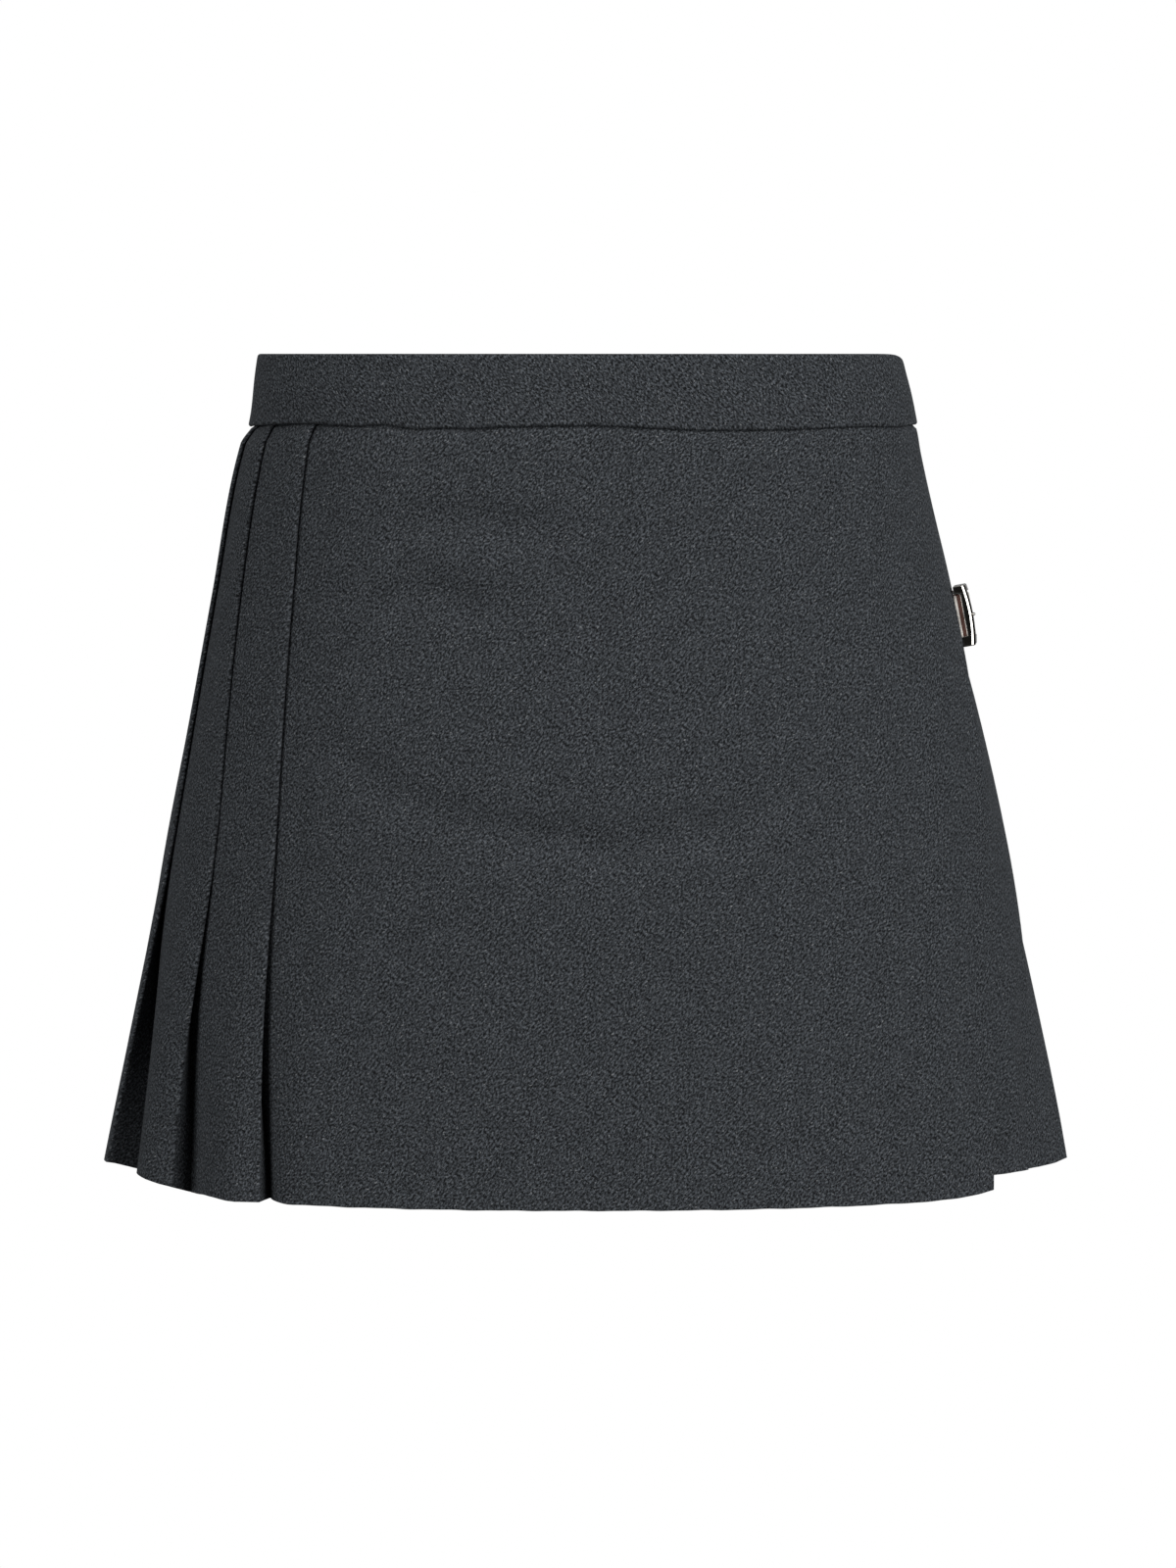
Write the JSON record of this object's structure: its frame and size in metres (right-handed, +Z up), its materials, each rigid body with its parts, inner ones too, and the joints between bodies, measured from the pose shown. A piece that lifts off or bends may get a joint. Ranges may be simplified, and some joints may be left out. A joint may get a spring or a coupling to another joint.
{
  "type": "mini skirt",
  "caption": "Short wrap skirt in wool: plain front apron, knife pleats round the back, waistband, and a side strap fastened by a small buckle.",
  "frame": {"origin": "middle of the waist opening, level with the top edge of the waistband", "axes": "+Z up, front faces -Y, the buckle at the wearer's left hip is on +X"},
  "size_m": [0.4243, 0.2787, 0.3595],
  "materials": {
    "wool": "charcoal grey wool flannel in a fine twill, softly napped",
    "strap_leather": "smooth ivory leather with red-brown painted edges",
    "steel": "polished"
  },
  "bodies": {
    "root": {"waistband": "wool", "apron": "wool", "pleated_panel": "wool", "under_apron": "wool", "strap": "strap_leather", "chape": "strap_leather", "buckle_frame": "steel", "buckle_prong": "steel"}
  },
  "joints": []
}
